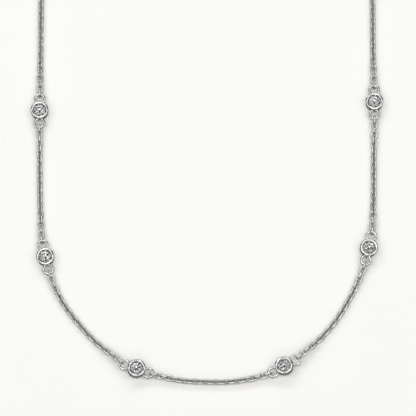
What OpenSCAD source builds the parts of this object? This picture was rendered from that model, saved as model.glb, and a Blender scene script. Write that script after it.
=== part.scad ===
// Station necklace: a fine cable chain with six bezel-set round stones, lying in a loop on a surface.
// Millimetres, +Z up. The surface is z = 0. The clasp is at the +Y end, the middle of the front at -Y.
// The origin is under the middle of the loop's box.

/* [Necklace] */
// Whole length round the middle line, clasp included
necklace_len = 457; // [430:1:520]
// Distance along the chain from one stone's middle to the next
station_pitch = 30.05; // [27:0.05:31]
// How far the row of stones is slid round the loop, towards the right
row_shift = 0.9; // [-2:0.1:3]

/* [Stone] */
// Diameter of each stone over its girdle
stone_d = 2.4; // [2.2:0.05:2.7]
// Diameter of the table facet
table_d = 1.37; // [1.25:0.01:1.5]
// Height of the crown, from the girdle to the table
crown_h = 0.36; // [0.3:0.01:0.42]
// Thickness of the girdle
girdle_h = 0.07; // [0.05:0.01:0.1]
// Depth of the pavilion, from the girdle to the point
pavilion_h = 1.03; // [0.9:0.01:1.1]

/* [Setting] */
// Width of the metal round the stone, from the girdle to the outside of the lip
rim_w = 0.6; // [0.5:0.05:0.7]
// Thickness of the rolled lip
lip_t = 0.58; // [0.44:0.02:0.6]
// How far the rolled lip stands out over the cup's side
lip_step = 0.1; // [0.06:0.01:0.12]
// Depth of the stone's table below the top of the lip
table_drop = 0.2; // [0.15:0.01:0.3]
// Height of the stone's point above the bottom of the cup
under_stone = 0.34; // [0.25:0.01:0.5]
// How much smaller the cup's foot is than its lip, on each side
foot_taper = 0.1; // [0.05:0.05:0.3]
// Radius of the round on the foot's outer edge
foot_round = 0.12; // [0.08:0.02:0.2]
// Width of the ledge that the stone's edge sits on
seat_w = 0.3; // [0.2:0.02:0.4]
// How far the metal closes over the stone's edge
grip = 0.06; // [0.05:0.01:0.08]
// Room between stone and metal
stone_gap = 0.04; // [0.03:0.01:0.05]

/* [Eyelet] */
// Diameter of the wire that each eyelet is bent from
eyelet_wire = 0.46; // [0.36:0.01:0.46]
// Diameter of the hole in an eyelet
eyelet_hole = 1.4; // [1.2:0.02:1.5]
// How far the middle of an eyelet stands out from the piece that it is soldered to
eyelet_stand = 0.7; // [0.6:0.01:0.75]
// Height of the eyelets above the bottom of the cup
eyelet_h = 0.88; // [0.8:0.01:1]

/* [Chain] */
// Diameter of the wire of a link
link_wire = 0.36; // [0.32:0.01:0.4]
// Room beside the wire that passes through a link, on each side
link_side = 0.15; // [0.14:0.01:0.18]
// Length of a link's opening beyond the two wires that pass through it
link_spare = 0.44; // [0.4:0.01:0.5]
// Play between two links, and between a link and what it hangs in
link_play = 0.12; // [0.1:0.01:0.14]
// Links modelled singly between the last stone and the back of the neck, on each side
side_links = 52; // [16:1:58]
// Links that a chain takes to rise and turn to a piece that it is fixed to
ease_links = 7; // [6:1:9]

/* [Clasp] */
// Outer diameter of the clasp's ring
clasp_d = 5.5; // [5:0.1:6.5]
// Thickness of the clasp's ring
clasp_tube = 1; // [0.9:0.05:1.2]
// Diameter of the end ring's wire
end_ring_wire = 0.46; // [0.4:0.02:0.54]
// Play between the clasp and the end ring that it closes on
clasp_play = 0.2; // [0.15:0.01:0.3]
// Diameter of the clasp's thumb knob
knob_d = 0.8; // [0.6:0.05:1]
// How far the thumb knob stands out from the clasp's ring
knob_h = 0.5; // [0.3:0.05:0.8]

/* [Hidden] */
station_count = 6;

$fn = 64;
wire_fn = 40;
metal = [0.78, 0.78, 0.77];

// The front of the loop as it lies, from the left side round to the right: x from its middle line,
// y from its lowest point
front_route = [
  [-33.6, 66], [-33.6, 57.5], [-33.6, 52.5], [-33.5, 44], [-33.3, 36], [-32.7, 27.5], [-31.5, 22.5],
  [-30, 18.5], [-27.5, 14.3], [-25, 11.2], [-22, 8], [-18, 4.8], [-16.2, 3.3], [-11.5, 1.7],
  [-9.5, 1.2], [-5, 0.3], [0, 0], [4, 0], [8.5, 0.6], [13.2, 1.9], [17.5, 4.2],
  [19, 5.6], [22, 8.2], [25, 11.5], [27.5, 15.2], [30, 20], [31.6, 24.2], [32.8, 29.2],
  [33.3, 36], [33.5, 45], [33.7, 54], [33.7, 59.5], [33.6, 66]
];

// How each setting leans as it lies: pitch raises the eyelet on its right, roll turns it about the
// chain, and turn is the way the stone sits in its cup, in degrees
PITCH = 0;
ROLL = 1;
TURN = 2;
lean = [
  [0, 0, 10],
  [0, 0, 30],
  [-4, -5, 5],
  [5, -6, 25],
  [0, 3, 15],
  [0, 0, 35]
];

// How near the stone's lower girdle facets come to its point, as a share of its radius
point_share = 0.22;

// The tube at the back: its sides, the step between its rings in diameters, and the room at its ends
tube_sides = 8;
tube_ring_step = 2.5;
tube_gap = 0.15;

// Where the clasp's thumb knob stands on its ring, in degrees
knob_turn = 125;

// Samples along each stretch of the front, and steps in degrees round the back
route_steps = 8;
arc_step = 3;

// A smooth curve through points p, with its direction at each point from both neighbours
function slope(p, i) =
  i == 0 || i == len(p) - 1 ? [0, sign(i - 0.5)] :
  let (a = p[i] - p[i - 1], b = p[i + 1] - p[i])
  (a * norm(b) / norm(a) + b * norm(a) / norm(b)) / (norm(a) + norm(b));
function curve_point(p, i, t) =
  let (l = norm(p[i + 1] - p[i]), u = 1 - t)
  p[i] * u * u * (1 + 2 * t) + p[i + 1] * t * t * (3 - 2 * t)
  + slope(p, i) * l * t * u * u - slope(p, i + 1) * l * t * t * u;
function smooth(p, steps) = [
  for (i = [0 : len(p) - 2], j = [0 : steps - 1]) curve_point(p, i, j / steps),
  p[len(p) - 1]
];
function running_length(p) = [
  for (i = 0, s = 0; i < len(p); s = s + (i + 1 < len(p) ? norm(p[i + 1] - p[i]) : 0), i = i + 1) s
];

front = smooth(front_route, route_steps);
front_runs = running_length(front);
front_len = front_runs[len(front) - 1];
side_y = front_route[0].y;
loop_r = (front_route[len(front_route) - 1].x - front_route[0].x) / 2;

// The sides run straight up as far as the whole length asks, and the back is a half circle
side_len = (necklace_len - front_len - PI * loop_r) / 2;
back_y = side_y + side_len;
function back_arc(from, to) = [
  for (a = [from : arc_step : to]) [-loop_r * sin(a), back_y + loop_r * cos(a)]
];

// Sizes of a link, and the height of a chain above the surface: it lies on the edges of its links
link_in_w = link_wire + 2 * link_side;
link_in_len = 2 * link_wire + link_spare;
link_half_w = (link_in_w + link_wire) / 2;
link_half_len = (link_in_len + link_wire) / 2;
link_pitch = link_in_len - link_play;
lying_turn = 45;
hung_turn = 90;
function chain_z(turn) = link_wire / 2 + link_half_w * max(abs(sin(turn)), abs(cos(turn)));
lying_z = chain_z(lying_turn);
hung_z = chain_z(hung_turn);

// The eyelet's ring, and the way from the middle of its far wire to the middle of the link in it
eyelet_r = (eyelet_hole + eyelet_wire) / 2;
tip_to_link = link_half_len - link_wire / 2 - eyelet_wire / 2 - link_play;

// The end ring lies rolled half over round the clasp's tube, and holds that side of the clasp up. It
// is wide enough for the round tube to pass through it like that. The clasp's own eyelet is held up
// by the link that stands in it
end_ring_fit = 1.95;
clasp_r = (clasp_d - clasp_tube) / 2;
clasp_reach = clasp_d / 2 + eyelet_stand;
end_ring_r = end_ring_fit * (clasp_tube + end_ring_wire + 2 * clasp_play) / 2;
end_ring_z = end_ring_wire / 2 + end_ring_r * sin(lying_turn);
clasp_tilt = asin((end_ring_z - hung_z) / (clasp_reach + eyelet_r + clasp_r));
clasp_z = end_ring_z - clasp_r * sin(clasp_tilt);
end_ring_x = clasp_r * cos(clasp_tilt) - clasp_tube / 2 - end_ring_wire / 2 - clasp_play + end_ring_r;

// The clasp and end ring lie straight, so they cross the back's round a little inside its top
clasp_half = end_ring_x + end_ring_r;
clasp_sag = loop_r - sqrt(pow(loop_r, 2) - pow(clasp_half, 2));

// The middle of the loop's box
clasp_y = back_y + loop_r - clasp_sag;
loop_top = clasp_y + clasp_d / 2;
loop_bottom = min([for (q = front) q.y]) - lying_z;
centre_y = (loop_top + loop_bottom) / 2;

// The whole middle line, from the clasp down the left side, round the front and up the right side
loop = [
  for (q = concat(back_arc(0, 90), front, back_arc(270, 360))) [q.x, q.y - centre_y]
];
loop_runs = running_length(loop);
loop_len = loop_runs[len(loop) - 1];
loop_x = [for (i = [0 : len(loop) - 1]) [loop_runs[i], loop[i].x]];
loop_y = [for (i = [0 : len(loop) - 1]) [loop_runs[i], loop[i].y]];
function loop_at(s) = [lookup(s, loop_x), lookup(s, loop_y)];

// The loop's direction at arc length s, from points a little to each side
look_ahead = 0.6;
function heading(s) =
  let (d = loop_at(s + look_ahead) - loop_at(s - look_ahead))
  atan2(d.y, d.x);

// The setting's sizes follow from the stone's
stone_r = stone_d / 2;
cup_r = stone_r + rim_w;
foot_r = cup_r - foot_taper;
girdle_z = under_stone + pavilion_h;
crown_z = girdle_z + girdle_h;
cup_h = crown_z + crown_h + table_drop;
lip_r = lip_t / 2;
cup_reach = cup_r + eyelet_stand;

// A station lies straight between the two points where its eyelets meet the loop
function station_s(k) = loop_len / 2 + row_shift + (k - (station_count - 1) / 2) * station_pitch;
function station_end(k, side) = loop_at(station_s(k) + side * cup_reach);

// How far a station's foot is lifted by its lean, and how high the middle between its eyelets is
function foot_lift(k) = foot_r * sin(norm([lean[k][PITCH], lean[k][ROLL]]));
function axis_z(k) = foot_lift(k) + eyelet_h * cos(lean[k][PITCH]) * cos(lean[k][ROLL]);

// The far side of an eyelet's wire, along the chain and above the surface: side is -1 left, 1 right
function tip_along(k, side) = side * (cup_reach + eyelet_r) * cos(lean[k][PITCH]);
function tip_z(k, side) = axis_z(k) + side * (cup_reach + eyelet_r) * sin(lean[k][PITCH]);

module ring(r, wire_d) {
  rotate_extrude() translate([r, 0]) circle(d = wire_d, $fn = wire_fn);
}

// An oval link lying flat along X: two straight wires and two half rings
module link() {
  straight = 2 * (link_half_len - link_half_w);
  for (side = [-1, 1]) {
    translate([-straight / 2, side * link_half_w, 0])
      rotate([0, 90, 0]) cylinder(d = link_wire, h = straight, $fn = wire_fn);
    translate([side * straight / 2, 0, 0])
      rotate([0, 0, side > 0 ? -90 : 90])
        rotate_extrude(angle = 180) translate([link_half_w, 0]) circle(d = link_wire, $fn = wire_fn);
  }
}

// The setting: a round cup with a rolled lip, hollow under the stone
module cup_profile() {
  difference() {
    union() {
      polygon([
        [0, 0], [foot_r - foot_round, 0], [foot_r, foot_round],
        [cup_r - lip_step, cup_h - lip_t], [cup_r - lip_r, cup_h - lip_r], [0, cup_h - lip_r]
      ]);
      translate([foot_r - foot_round, foot_round]) circle(foot_round);
      translate([cup_r - lip_r, cup_h - lip_r]) circle(lip_r);
    }
    stone_room();
  }
}

// The hollow that the stone sits in, with room round it, and the open back
module stone_room() {
  seat_z = under_stone + pavilion_h * (stone_r - seat_w) / stone_r - 2 * stone_gap;
  edge_r = stone_r + stone_gap;
  mouth_z = crown_z + crown_h * grip / (stone_r - table_d / 2) + 2 * stone_gap;
  polygon([
    [0, -1], [stone_r - seat_w, -1], [stone_r - seat_w, seat_z], [edge_r, girdle_z - stone_gap],
    [edge_r, crown_z + stone_gap], [stone_r - grip, mouth_z],
    [cup_r - lip_t, cup_h - lip_r], [cup_r - lip_t, cup_h + 1], [0, cup_h + 1]
  ]);
}

module on_station(k) {
  middle = (station_end(k, -1) + station_end(k, 1)) / 2;
  way = station_end(k, 1) - station_end(k, -1);
  translate([middle.x, middle.y, axis_z(k)])
    rotate([0, -lean[k][PITCH], atan2(way.y, way.x)]) rotate([lean[k][ROLL], 0, 0])
      translate([0, 0, -eyelet_h]) children();
}

module setting(k) {
  color(metal) on_station(k) {
    rotate_extrude() cup_profile();
    for (side = [-1, 1]) translate([side * cup_reach, 0, eyelet_h]) ring(eyelet_r, eyelet_wire);
  }
}

// A round brilliant: a table with eight sides, star, kite and girdle facets, and a pointed pavilion
module brilliant() {
  sides = 8;
  turn = 360 / sides;
  table_r = table_d / 2;
  star_r = (table_r * cos(turn / 2) + stone_r) / 2;
  star_z = crown_z + crown_h * (stone_r - star_r * cos(turn / 2)) / (stone_r - table_r);
  low_r = point_share * stone_r;
  low_z = under_stone + pavilion_h * low_r * cos(turn / 2) / stone_r;
  corners = [for (i = [0 : sides - 1]) i * turn];
  points = [
    for (a = corners) [table_r * cos(a), table_r * sin(a), crown_z + crown_h],
    for (a = corners) [star_r * cos(a + turn / 2), star_r * sin(a + turn / 2), star_z],
    for (z = [crown_z, girdle_z], a = corners, b = [a, a + turn / 2]) [stone_r * cos(b), stone_r * sin(b), z],
    for (a = corners) [low_r * cos(a + turn / 2), low_r * sin(a + turn / 2), low_z],
    [0, 0, under_stone]
  ];
  star = sides;
  top = 2 * sides;
  low = 4 * sides;
  mid = 6 * sides;
  tip = 7 * sides;
  faces = [
    [for (i = [sides - 1 : -1 : 0]) i],
    for (i = [0 : sides - 1]) let (j = (i + 1) % sides, h = (i + sides - 1) % sides, g = 2 * i) each [
      [i, j, star + i],
      [i, star + i, top + g, star + h],
      [star + i, top + g + 1, top + g],
      [star + i, top + 2 * j, top + g + 1],
      [top + g, top + g + 1, low + g + 1, low + g],
      [top + g + 1, top + 2 * j, low + 2 * j, low + g + 1],
      [low + g, low + g + 1, mid + i],
      [low + g + 1, low + 2 * j, mid + i],
      [low + g, mid + i, tip, mid + h]
    ]
  ];
  polyhedron(points, faces);
}

module stone(k) {
  color([0.9, 0.93, 0.95]) on_station(k) rotate([0, 0, lean[k][TURN]]) brilliant();
}

// How near link i is to the piece that holds the chain: 1 at the piece, 0 where the chain lies freely
function nearness(i) = (1 + cos(180 * min(i / ease_links, 1))) / 2;

// Roll and height of link i, where last is the link in the next piece, and the eyelets at the ends
// are rise_a and rise_b higher than a link that stands on the surface
function link_turn(i, last) =
  lying_turn + (hung_turn - lying_turn) * max(nearness(i), nearness(last - i));
function link_z(i, last, rise_a, rise_b) =
  chain_z(link_turn(i, last)) + rise_a * nearness(i) + rise_b * nearness(last - i);
function link_climb(i, last, rise_a, rise_b) =
  asin((link_z(i + 0.5, last, rise_a, rise_b) - link_z(i - 0.5, last, rise_a, rise_b)) / link_pitch);

// How far over the surface link i is from the first, in steps: a climbing link covers less of it
function link_run(i, last, rise_a, rise_b) =
  i == 0 ? 0 :
  link_run(i - 1, last, rise_a, rise_b) + cos(link_climb(i - 0.5, last, rise_a, rise_b));

// Links 0 to n - 1 from arc length s, where step is the length of a level one
module link_row(s, step, n, last, rise_a, rise_b = 0) {
  for (i = [0 : n - 1]) {
    at_s = s + step * link_run(i, last, rise_a, rise_b);
    translate([loop_at(at_s).x, loop_at(at_s).y, link_z(i, last, rise_a, rise_b)])
      rotate([0, -sign(step) * link_climb(i, last, rise_a, rise_b), heading(at_s)])
        rotate([link_turn(i, last) + 90 * (i % 2), 0, 0]) link();
  }
}

// The chain between station k and the next. Its links are an odd number, so both ends stand upright
module chain(k) {
  first_s = station_s(k) + tip_along(k, 1) + tip_to_link;
  last_s = station_s(k + 1) + tip_along(k + 1, -1) - tip_to_link;
  last = 2 * round((last_s - first_s) / link_pitch / 2);
  rise_a = tip_z(k, 1) - hung_z;
  rise_b = tip_z(k + 1, -1) - hung_z;
  step = (last_s - first_s) / link_run(last, last, rise_a, rise_b);
  color(metal) link_row(first_s, step, last + 1, last, rise_a, rise_b);
}

// The chain from an outer station up its side, where its last link lies freely
function side_start(k, side) = station_s(k) + tip_along(k, side) + side * tip_to_link;
function side_rise(k, side) = tip_z(k, side) - hung_z;
function side_end(k, side) =
  side_start(k, side)
  + side * link_pitch * link_run(side_links - 1, side_links + ease_links, side_rise(k, side), 0)
  + side * (link_half_len + link_wire / 2 + tube_gap);
module side_chain(k, side) {
  color(metal)
    link_row(side_start(k, side), side * link_pitch, side_links, side_links + ease_links,
      side_rise(k, side));
}

// The rest of the chain as a plain tube, as thick as the lying chain, between two arc lengths
module back_chain(from, to) {
  rings = ceil((to - from) / (tube_ring_step * 2 * lying_z));
  corner_r = lying_z / cos(180 / tube_sides);
  points = [
    for (i = [0 : rings])
      let (s = from + (to - from) * i / rings, h = heading(s))
      for (j = [0 : tube_sides - 1])
        let (across = corner_r * cos(360 * (j + 0.5) / tube_sides))
        [
          loop_at(s).x - across * sin(h), loop_at(s).y + across * cos(h),
          lying_z + corner_r * sin(360 * (j + 0.5) / tube_sides)
        ]
  ];
  faces = [
    [for (j = [0 : tube_sides - 1]) j],
    for (i = [0 : rings - 1], j = [0 : tube_sides - 1])
      let (a = i * tube_sides + j, b = i * tube_sides + (j + 1) % tube_sides)
      [a, a + tube_sides, b + tube_sides, b],
    [for (j = [tube_sides - 1 : -1 : 0]) rings * tube_sides + j]
  ];
  color(metal) polyhedron(points, faces);
}

// The clasp: a plain ring with a thumb knob and its own soldered eyelet
module clasp() {
  color(metal) translate([0, clasp_y - centre_y, clasp_z]) rotate([0, -clasp_tilt, 0]) {
    ring(clasp_r, clasp_tube);
    translate([-clasp_reach, 0, 0]) ring(eyelet_r, eyelet_wire);
    rotate([0, 0, knob_turn]) translate([clasp_r, 0, 0]) rotate([0, 90, 0])
      cylinder(d = knob_d, h = clasp_tube / 2 + knob_h, $fn = wire_fn);
  }
}

module end_ring() {
  color(metal) translate([end_ring_x, clasp_y - centre_y, end_ring_z]) rotate([lying_turn, 0, 0])
    ring(end_ring_r, end_ring_wire);
}

for (k = [0 : station_count - 1]) {
  setting(k);
  stone(k);
}
for (k = [0 : station_count - 2]) {
  chain(k);
}
side_chain(0, -1);  // side_chain_left
side_chain(station_count - 1, 1);  // side_chain_right
back_chain(clasp_reach + eyelet_r + eyelet_wire / 2 + tube_gap, side_end(0, -1));  // back_chain_left
back_chain(side_end(station_count - 1, 1), loop_len - clasp_half - end_ring_wire / 2 - tube_gap);  // back_chain_right
clasp();
end_ring();
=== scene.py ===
import bpy
import math
from mathutils import Matrix, Vector


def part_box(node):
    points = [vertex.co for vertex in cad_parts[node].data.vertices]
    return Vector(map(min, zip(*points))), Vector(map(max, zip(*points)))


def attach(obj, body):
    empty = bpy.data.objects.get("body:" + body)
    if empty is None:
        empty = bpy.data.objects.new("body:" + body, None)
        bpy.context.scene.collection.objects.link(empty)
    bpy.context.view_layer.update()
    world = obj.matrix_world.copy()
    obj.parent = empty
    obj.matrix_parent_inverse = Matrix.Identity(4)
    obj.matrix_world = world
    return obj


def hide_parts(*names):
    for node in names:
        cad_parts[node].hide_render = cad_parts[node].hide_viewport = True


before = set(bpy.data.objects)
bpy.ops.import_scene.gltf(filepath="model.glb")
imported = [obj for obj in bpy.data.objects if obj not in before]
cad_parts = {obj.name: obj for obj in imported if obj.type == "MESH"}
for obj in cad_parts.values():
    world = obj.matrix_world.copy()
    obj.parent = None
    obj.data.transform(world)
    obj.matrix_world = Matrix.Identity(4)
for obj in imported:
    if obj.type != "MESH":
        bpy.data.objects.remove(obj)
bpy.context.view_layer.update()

# Six settings, each a round cup of white gold turned from bar, with its lip rolled over the stone and
# burnished, and a wire eyelet soldered to each side. They are polished bright and plated.
SETTING_COUNT = 6
WHITE_GOLD = (0.74, 0.74, 0.73)
DULLEST_TONE = 0.94
CLOUDS_PER_MARK = 0.2
CLOUD_DETAIL = 3
MARK_DETAIL = 4
GLOSSIEST = 0.6
ROUGHEST = 1.4


def polished_gold(name, roughness, mark_size, mark_depth):
    """White gold with the fine marks that polishing and wear leave, mark_size metres across."""
    material = bpy.data.materials.new(name)
    material.use_nodes = True
    nodes, links = material.node_tree.nodes, material.node_tree.links
    shader = nodes["Principled BSDF"]
    shader.inputs["Metallic"].default_value = 1
    place = nodes.new("ShaderNodeTexCoord")
    clouds = nodes.new("ShaderNodeTexNoise")
    clouds.inputs["Scale"].default_value = CLOUDS_PER_MARK / mark_size
    clouds.inputs["Detail"].default_value = CLOUD_DETAIL
    links.new(place.outputs["Object"], clouds.inputs["Vector"])
    tone = nodes.new("ShaderNodeMix")
    tone.data_type = "RGBA"
    tone.inputs["A"].default_value = (*(channel * DULLEST_TONE for channel in WHITE_GOLD), 1)
    tone.inputs["B"].default_value = (*WHITE_GOLD, 1)
    links.new(clouds.outputs["Fac"], tone.inputs["Factor"])
    links.new(tone.outputs["Result"], shader.inputs["Base Color"])
    marks = nodes.new("ShaderNodeTexNoise")
    marks.inputs["Scale"].default_value = 1 / mark_size
    marks.inputs["Detail"].default_value = MARK_DETAIL
    links.new(place.outputs["Object"], marks.inputs["Vector"])
    gloss = nodes.new("ShaderNodeMapRange")
    gloss.inputs["To Min"].default_value = roughness * GLOSSIEST
    gloss.inputs["To Max"].default_value = roughness * ROUGHEST
    links.new(marks.outputs["Fac"], gloss.inputs["Value"])
    links.new(gloss.outputs["Result"], shader.inputs["Roughness"])
    relief = nodes.new("ShaderNodeBump")
    relief.inputs["Distance"].default_value = mark_depth
    links.new(marks.outputs["Fac"], relief.inputs["Height"])
    links.new(relief.outputs["Normal"], shader.inputs["Normal"])
    return material


setting_metal = polished_gold(
    "white_gold_bright", roughness=0.09, mark_size=0.0004, mark_depth=0.000004)
for k in range(1, SETTING_COUNT + 1):
    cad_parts[f"setting_{k}"].data.materials[0] = setting_metal

# Six round brilliants, clear and colourless, each ground to a flat table, a faceted crown and a
# pointed pavilion, and held in its cup by the rolled lip. A grey tint keeps them from glittering more
# than real stones of this size do.
STONE_TINT = (0.37, 0.373, 0.373, 1)
STONE_BEND = 2.42
stone_clear = bpy.data.materials.new("clear_brilliant")
stone_clear.use_nodes = True
stone_shader = stone_clear.node_tree.nodes["Principled BSDF"]
stone_shader.inputs["Base Color"].default_value = STONE_TINT
stone_shader.inputs["Roughness"].default_value = 0
stone_shader.inputs["IOR"].default_value = STONE_BEND
stone_shader.inputs["Transmission Weight"].default_value = 1
for k in range(1, SETTING_COUNT + 1):
    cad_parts[f"stone_{k}"].data.materials[0] = stone_clear

# The chain is drawn wire of the same alloy. Each oval link is bent through the one before it, closed
# and soldered, and tumbling leaves it more satin than the settings. Its ends hang in their eyelets.
chain_metal = polished_gold(
    "white_gold_chain", roughness=0.36, mark_size=0.0003, mark_depth=0.000005)
front_chains = [f"chain_{k}" for k in range(1, SETTING_COUNT)]
for name in front_chains + ["side_chain_left", "side_chain_right"]:
    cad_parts[name].data.materials[0] = chain_metal

# Round the back of the neck the same cable chain goes on, nearly ninety links a side. Its links lie on
# their edges like the rest: the last one on the left stands up in the clasp's eyelet, and the last one
# on the right rises to the end ring that it hangs on.
LINK_WIRE = 0.00036
LINK_HALF_WIDTH = 0.00051
LINK_HALF_LENGTH = 0.00076
LINK_STEP = 0.00104
WIRE_SIDES = 7
BEND_STEPS = 6
MERGE_DISTANCE = 0.000001
# The chain runs straight up each side, then round a half circle, from the end of the tube that it
# replaces to the middle of its last link. Links roll by degrees, each a quarter turn from the next.
BACK_RADIUS = 0.0336
BACK_CENTRE_Y = 0.0605347
TUBE_TO_LINK = 0.00005
EYELET_LINK_X = 0.004576
RING_LINK_X = 0.00516
RING_HEIGHT = 0.001512
LEFT_EASE = 7
RIGHT_EASE = 10
LYING_TURN = 45
STANDING_TURN = 90
CROSSING_TURN = 90
straight = 2 * (LINK_HALF_LENGTH - LINK_HALF_WIDTH)

bpy.ops.object.select_all(action="DESELECT")
bpy.ops.mesh.primitive_circle_add(
    vertices=WIRE_SIDES, radius=LINK_WIRE / 2,
    location=(straight / 2, -LINK_HALF_WIDTH, 0), rotation=(0, math.radians(90), 0))
back_link = bpy.context.object
bpy.ops.object.transform_apply(location=True, rotation=True, scale=True)
bpy.ops.object.mode_set(mode="EDIT")
bpy.ops.mesh.select_all(action="SELECT")
for side in (1, -1):
    bpy.ops.mesh.spin(
        steps=BEND_STEPS, angle=-math.pi, center=(side * straight / 2, 0, 0), axis=(0, 0, 1))
    bpy.ops.mesh.extrude_region_move(TRANSFORM_OT_translate={"value": (-side * straight, 0, 0)})
bpy.ops.mesh.select_all(action="SELECT")
bpy.ops.mesh.remove_doubles(threshold=MERGE_DISTANCE)
bpy.ops.mesh.normals_make_consistent(inside=False)
bpy.ops.object.mode_set(mode="OBJECT")
bpy.ops.object.shade_smooth()


def link_height(turn):
    """Height of a link's middle when it rests on its edge, rolled by turn degrees."""
    lean = math.radians(turn)
    return LINK_WIRE / 2 + LINK_HALF_WIDTH * max(abs(math.sin(lean)), abs(math.cos(lean)))


def nearness(steps_away, ease):
    """1 at the piece that holds the chain, easing to 0 where the chain lies freely."""
    return (1 + math.cos(math.pi * min(steps_away / ease, 1))) / 2


def back_chain(name, side, last_x, end_turn, end_height, ease):
    """Lays links from the side chain's end to last_x beside the clasp; side is -1 left, 1 right.

    Over the last ease links they roll to end_turn and rise to end_height, where they are held.
    """
    start_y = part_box(name)[0][1] - TUBE_TO_LINK
    up_side = BACK_CENTRE_Y - start_y
    whole_run = up_side + BACK_RADIUS * math.acos(last_x / BACK_RADIUS)
    last = 2 * round(whole_run / LINK_STEP / 2)

    def turn_and_height(k):
        near = nearness(last - k, ease)
        turn = LYING_TURN + (end_turn - LYING_TURN) * near
        return turn, link_height(turn) + (end_height - link_height(end_turn)) * near

    bpy.ops.object.select_all(action="DESELECT")
    for k in range(last + 1):
        run = whole_run * k / last
        bend = max(0, (run - up_side) / BACK_RADIUS)
        x = side * BACK_RADIUS * math.cos(bend)
        y = start_y + run if run < up_side else BACK_CENTRE_Y + BACK_RADIUS * math.sin(bend)
        turn, height = turn_and_height(k)
        climb = (turn_and_height(k + 0.5)[1] - turn_and_height(k - 0.5)[1]) / LINK_STEP
        roll = math.radians(turn + CROSSING_TURN * (k % 2))
        piece = back_link.copy()
        piece.data = back_link.data.copy()
        bpy.context.scene.collection.objects.link(piece)
        piece.matrix_world = (
            Matrix.Translation((x, y, height))
            @ Matrix.Rotation(math.pi / 2 + side * bend, 4, "Z")
            @ Matrix.Rotation(-math.asin(climb), 4, "Y")
            @ Matrix.Rotation(side * roll, 4, "X"))
        piece.select_set(True)
    bpy.context.view_layer.objects.active = piece
    bpy.ops.object.join()
    bpy.ops.object.transform_apply(location=True, rotation=True, scale=True)
    piece.name = name + "_links"
    piece.data.materials.append(chain_metal)
    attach(piece, "root")
    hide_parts(name)


back_chain(
    "back_chain_left", -1, EYELET_LINK_X,
    STANDING_TURN, link_height(STANDING_TURN), LEFT_EASE)
back_chain("back_chain_right", 1, RING_LINK_X, LYING_TURN, RING_HEIGHT, RIGHT_EASE)
bpy.data.objects.remove(back_link)

# A small ring clasp closes the necklace at the back. It is a white gold tube bent round, with a gap
# that a thinner sprung bolt bridges, a thumb knob on the bolt that stands in a slot, and a wire eyelet
# soldered on for the chain's left end.
CLASP_RADIUS = 0.00225
CLASP_TUBE = 0.001
CLASP_AT = (0, 0.0937712, 0.0012333)
CLASP_TILT = math.radians(7.125)
CLASP_EDGE = 0.00006
BOLT_WIRE = 0.00074
EYELET_REACH = 0.00345
EYELET_RADIUS = 0.00093
EYELET_WIRE = 0.00046
GAP_TURNS = (60, 98)
BOLT_TURNS = (50, 108)
SLOT_TURNS = (106, 150)
SLOT_FACING = 0.95
SLOT_RIM = 0.00002
SLOT_WALL = 0.00001
SLOT_DEPTH = 0.00012
KNOB_TURN = math.radians(125)
KNOB_SIDES = 20
KNOB_WIDTH = 0.0008
KNOB_WAIST = 0.6
KNOB_REACH = 0.00325
KNOB_RIM = 0.0001
KNOB_CROWN = 0.00001
KNOB_EDGE = 0.0001
END_FACING = 0.9
EDGE_SEGMENTS = 3
EDGE_ANGLE = math.radians(45)
SMOOTH_ANGLE = math.radians(40)


def bent_tube(middle, radius, thickness, start, end, sides, steps):
    """A round wire bent about middle from start to end, in degrees, with closed ends."""
    around = math.radians(start)
    across, along = radius * math.cos(around), radius * math.sin(around)
    bpy.ops.object.select_all(action="DESELECT")
    bpy.ops.mesh.primitive_circle_add(
        vertices=sides, radius=thickness / 2, rotation=(math.pi / 2, 0, around),
        location=(middle[0] + across, middle[1] + along, middle[2]))
    tube = bpy.context.object
    bpy.ops.object.transform_apply(location=True, rotation=True, scale=True)
    bpy.ops.object.mode_set(mode="EDIT")
    bpy.ops.mesh.select_all(action="SELECT")
    bpy.ops.mesh.spin(
        steps=steps, angle=-math.radians(end - start), center=middle, axis=(0, 0, 1))
    bpy.ops.mesh.select_all(action="SELECT")
    bpy.ops.mesh.remove_doubles(threshold=MERGE_DISTANCE)
    bpy.ops.mesh.fill_holes(sides=sides)
    bpy.ops.mesh.select_all(action="SELECT")
    bpy.ops.mesh.normals_make_consistent(inside=False)
    bpy.ops.object.mode_set(mode="OBJECT")
    return tube


def edit_faces(piece, wanted):
    """Opens a piece for editing with only the faces selected whose middle and normal are wanted."""
    bpy.context.view_layer.objects.active = piece
    for group in (piece.data.vertices, piece.data.edges):
        group.foreach_set("select", [False] * len(group))
    for face in piece.data.polygons:
        face.select = wanted(face.center, face.normal)
    bpy.ops.object.mode_set(mode="EDIT")
    bpy.ops.mesh.select_mode(type="FACE")


def wear_edges(piece, width):
    """Takes the sharp edges off a piece, and merges what the bevel leaves on top of itself."""
    bevel = piece.modifiers.new("worn_edges", "BEVEL")
    bevel.width = width
    bevel.segments = EDGE_SEGMENTS
    bevel.limit_method = "ANGLE"
    bevel.angle_limit = EDGE_ANGLE
    bpy.context.view_layer.objects.active = piece
    bpy.ops.object.modifier_apply(modifier=bevel.name)
    bpy.ops.object.mode_set(mode="EDIT")
    bpy.ops.mesh.select_all(action="SELECT")
    bpy.ops.mesh.remove_doubles(threshold=MERGE_DISTANCE)
    bpy.ops.object.mode_set(mode="OBJECT")


def in_slot(middle, normal):
    """True for the outermost faces of the tube along the slot that the knob slides in."""
    turn = math.degrees(math.atan2(middle.y, middle.x)) % 360
    outward = normal.x * math.cos(math.radians(turn)) + normal.y * math.sin(math.radians(turn))
    return SLOT_TURNS[0] < turn < SLOT_TURNS[1] and outward > SLOT_FACING


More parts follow.
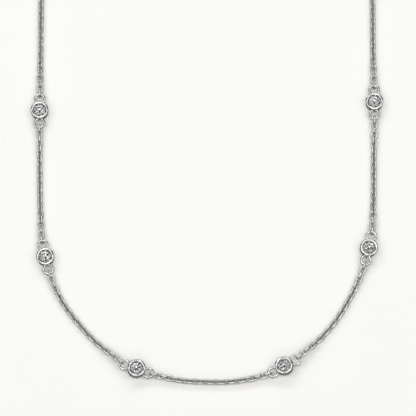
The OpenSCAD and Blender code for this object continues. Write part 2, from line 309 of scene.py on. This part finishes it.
clasp_body = bent_tube(
    (0, 0, 0), CLASP_RADIUS, CLASP_TUBE, GAP_TURNS[1], GAP_TURNS[0] + 360, sides=16, steps=60)
edit_faces(clasp_body, in_slot)
bpy.ops.mesh.inset(thickness=SLOT_RIM, depth=0)
bpy.ops.mesh.inset(thickness=SLOT_WALL, depth=-SLOT_DEPTH)
bpy.ops.object.mode_set(mode="OBJECT")
wear_edges(clasp_body, CLASP_EDGE)

clasp_bolt = bent_tube((0, 0, 0), CLASP_RADIUS, BOLT_WIRE, *BOLT_TURNS, sides=14, steps=14)
clasp_eyelet = bent_tube(
    (-EYELET_REACH, 0, 0), EYELET_RADIUS, EYELET_WIRE, 0, 360, sides=12, steps=36)

bpy.ops.object.select_all(action="DESELECT")
bpy.ops.mesh.primitive_cylinder_add(
    vertices=KNOB_SIDES, radius=KNOB_WIDTH / 2, depth=KNOB_REACH - CLASP_RADIUS,
    location=(0, 0, (KNOB_REACH + CLASP_RADIUS) / 2))
clasp_knob = bpy.context.object
bpy.ops.object.transform_apply(location=True, rotation=True, scale=True)
edit_faces(clasp_knob, lambda middle, normal: normal.z < -END_FACING)
bpy.ops.transform.resize(value=(KNOB_WAIST, KNOB_WAIST, 1))
bpy.ops.object.mode_set(mode="OBJECT")
edit_faces(clasp_knob, lambda middle, normal: normal.z > END_FACING)
bpy.ops.mesh.inset(thickness=KNOB_RIM, depth=KNOB_CROWN)
bpy.ops.object.mode_set(mode="OBJECT")
wear_edges(clasp_knob, KNOB_EDGE)
clasp_knob.matrix_world = Matrix.Rotation(KNOB_TURN, 4, "Z") @ Matrix.Rotation(math.pi / 2, 4, "Y")

bpy.ops.object.select_all(action="DESELECT")
for piece in (clasp_body, clasp_bolt, clasp_eyelet, clasp_knob):
    piece.select_set(True)
bpy.context.view_layer.objects.active = clasp_body
bpy.ops.object.join()
clasp_body.matrix_world = Matrix.Translation(CLASP_AT) @ Matrix.Rotation(-CLASP_TILT, 4, "Y")
bpy.ops.object.transform_apply(location=True, rotation=True, scale=True)
bpy.ops.object.shade_smooth_by_angle(angle=SMOOTH_ANGLE)
clasp_body.name = "ring_clasp"
clasp_metal = polished_gold(
    "white_gold_clasp", roughness=0.16, mark_size=0.0005, mark_depth=0.000008)
clasp_body.data.materials.append(clasp_metal)
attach(clasp_body, "root")
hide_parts("clasp")

# The end ring is round white gold wire, bent through the chain's last link on the right, closed and
# soldered. The clasp hooks into it, and it is polished like the clasp.
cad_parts["end_ring"].data.materials[0] = clasp_metal

# The necklace lies on a plain sheet of pale matt paper, which isn't part of it. The paper is darker to
# all but the camera, so that the polished metal shows the dark outlines that a white studio hides.
FLOOR_SIZE = 1.2
PAPER_ROUGHNESS = 0.75
PAPER_IN_METAL = (0.28, 0.278, 0.27, 1)
PAPER_SEEN = (1, 0.992, 0.955, 1)
bpy.ops.mesh.primitive_plane_add(size=FLOOR_SIZE)
floor = bpy.context.object
floor.name = "floor"
paper = bpy.data.materials.new("pale_paper")
paper.use_nodes = True
paper_nodes, paper_links = paper.node_tree.nodes, paper.node_tree.links
paper_shader = paper_nodes["Principled BSDF"]
paper_shader.inputs["Roughness"].default_value = PAPER_ROUGHNESS
paper_shader.inputs["Specular IOR Level"].default_value = 0
ray = paper_nodes.new("ShaderNodeLightPath")
paper_tone = paper_nodes.new("ShaderNodeMix")
paper_tone.data_type = "RGBA"
paper_tone.inputs["A"].default_value = PAPER_IN_METAL
paper_tone.inputs["B"].default_value = PAPER_SEEN
paper_links.new(ray.outputs["Is Camera Ray"], paper_tone.inputs["Factor"])
paper_links.new(paper_tone.outputs["Result"], paper_shader.inputs["Base Color"])
floor.data.materials.append(paper)

# A wide soft lamp at the back casts the soft shadow below the chain. A lamp on each side and a low one
# in front draw the bright line round every rim, and shine into the stones, which send it back up.
LAMP_DISTANCE = 1.1
BACK_LAMP_SIZE = (1.6, 0.35)
BACK_LAMP_POWER = 5.7
BACK_LAMP_LEAN = math.radians(49)
BACK_LAMP_SWING = math.radians(8)
SIDE_LAMP_SIZE = (0.7, 0.8)
SIDE_LAMP_GLOW = 2
SIDE_LAMP_LEAN = math.radians(31)
SIDE_LAMP_TILT = math.radians(5)
FRONT_LAMP_SIZE = (0.9, 0.35)
FRONT_LAMP_GLOW = 1.8
FRONT_LAMP_LEAN = math.radians(50)


def studio_lamp(name, size, power, turn):
    """A flat lamp that faces the origin from straight above, and is then swung aside by turn."""
    lamp_data = bpy.data.lights.new(name, "AREA")
    lamp_data.shape = "RECTANGLE"
    lamp_data.size, lamp_data.size_y = size
    lamp_data.energy = power
    lamp = bpy.data.objects.new(name, lamp_data)
    bpy.context.scene.collection.objects.link(lamp)
    lamp.matrix_world = turn @ Matrix.Translation((0, 0, LAMP_DISTANCE))


def glow_power(glow, size):
    """Power of a flat lamp whose face is as bright as glow, in watts a square metre a steradian."""
    return glow * math.pi * size[0] * size[1]


studio_lamp(
    "softbox", BACK_LAMP_SIZE, BACK_LAMP_POWER,
    Matrix.Rotation(BACK_LAMP_SWING, 4, "Z") @ Matrix.Rotation(-BACK_LAMP_LEAN, 4, "X"))
for side in (-1, 1):
    studio_lamp(
        "side_lamp", SIDE_LAMP_SIZE, glow_power(SIDE_LAMP_GLOW, SIDE_LAMP_SIZE),
        Matrix.Rotation(side * SIDE_LAMP_LEAN, 4, "Y") @ Matrix.Rotation(SIDE_LAMP_TILT, 4, "X"))
studio_lamp(
    "front_lamp", FRONT_LAMP_SIZE, glow_power(FRONT_LAMP_GLOW, FRONT_LAMP_SIZE),
    Matrix.Rotation(FRONT_LAMP_LEAN, 4, "X"))

# The room is dim but for a bright patch straight overhead, with a dark card beyond it that keeps the
# glare off the stones' tables. The stops give the sky's level at each height from floor to zenith.
SKY_STOPS = [(0, 0.03), (0.45, 0.06), (0.9, 0.1), (0.985, 0.2), (0.991, 6.5), (1, 6.5)]
CARD_X = (-0.2, 0.2)
CARD_Y = (0.1, 0.54)
CARD_SHADE = 0.85
CARD_BLUR = 0.03
world = bpy.data.worlds.new("studio")
world.use_nodes = True
bpy.context.scene.world = world
world_nodes, world_links = world.node_tree.nodes, world.node_tree.links
background = world_nodes["Background"]
sky_place = world_nodes.new("ShaderNodeTexCoord")
sky_axes = world_nodes.new("ShaderNodeSeparateXYZ")
sky_ramp = world_nodes.new("ShaderNodeValToRGB")
world_links.new(sky_place.outputs["Generated"], sky_axes.inputs["Vector"])
world_links.new(sky_axes.outputs["Z"], sky_ramp.inputs["Fac"])
stops = sky_ramp.color_ramp.elements
while len(stops) < len(SKY_STOPS):
    stops.new(0.5)
for stop, (height, level) in zip(stops, SKY_STOPS):
    stop.position = height
    stop.color = (level, level, level, 1)

card_levels = []
for axis, (low, high) in (("X", CARD_X), ("Y", CARD_Y)):
    for edge, inner, outer in ((low, 1, 0), (high, 0, 1)):
        card_edge = world_nodes.new("ShaderNodeMapRange")
        card_edge.inputs["From Min"].default_value = edge - CARD_BLUR
        card_edge.inputs["From Max"].default_value = edge + CARD_BLUR
        card_edge.inputs["To Min"].default_value = outer
        card_edge.inputs["To Max"].default_value = inner
        world_links.new(sky_axes.outputs[axis], card_edge.inputs["Value"])
        card_levels.append(card_edge.outputs["Result"])
card = card_levels[0]
for level in card_levels[1:]:
    product = world_nodes.new("ShaderNodeMath")
    product.operation = "MULTIPLY"
    world_links.new(card, product.inputs[0])
    world_links.new(level, product.inputs[1])
    card = product.outputs[0]
shade = world_nodes.new("ShaderNodeMath")
shade.operation = "MULTIPLY_ADD"
shade.inputs[1].default_value = -CARD_SHADE
shade.inputs[2].default_value = 1
world_links.new(card, shade.inputs[0])
world_links.new(shade.outputs[0], background.inputs["Strength"])
world_links.new(sky_ramp.outputs["Color"], background.inputs["Color"])

# The camera looks down on the front of the necklace, leaning a little from straight above, and frames
# the part of it that the photograph shows. The colours are shown plain, with no film look.
CAMERA_DISTANCE = 0.6
CAMERA_LEAN = math.radians(12)
CAMERA_TARGET = Vector((0.00025, -0.06073, 0))
VIEW_WIDTH = 0.0832
SENSOR_WIDTH = 36
camera_data = bpy.data.cameras.new("camera")
camera_data.sensor_width = SENSOR_WIDTH
camera_data.lens = SENSOR_WIDTH * CAMERA_DISTANCE / VIEW_WIDTH
camera = bpy.data.objects.new("camera", camera_data)
bpy.context.scene.collection.objects.link(camera)
camera_way = Vector((0, -math.sin(CAMERA_LEAN), math.cos(CAMERA_LEAN)))
camera.location = CAMERA_TARGET + CAMERA_DISTANCE * camera_way
camera.rotation_euler = (CAMERA_LEAN, 0, 0)
bpy.context.scene.camera = camera
bpy.context.scene.view_settings.view_transform = "Standard"
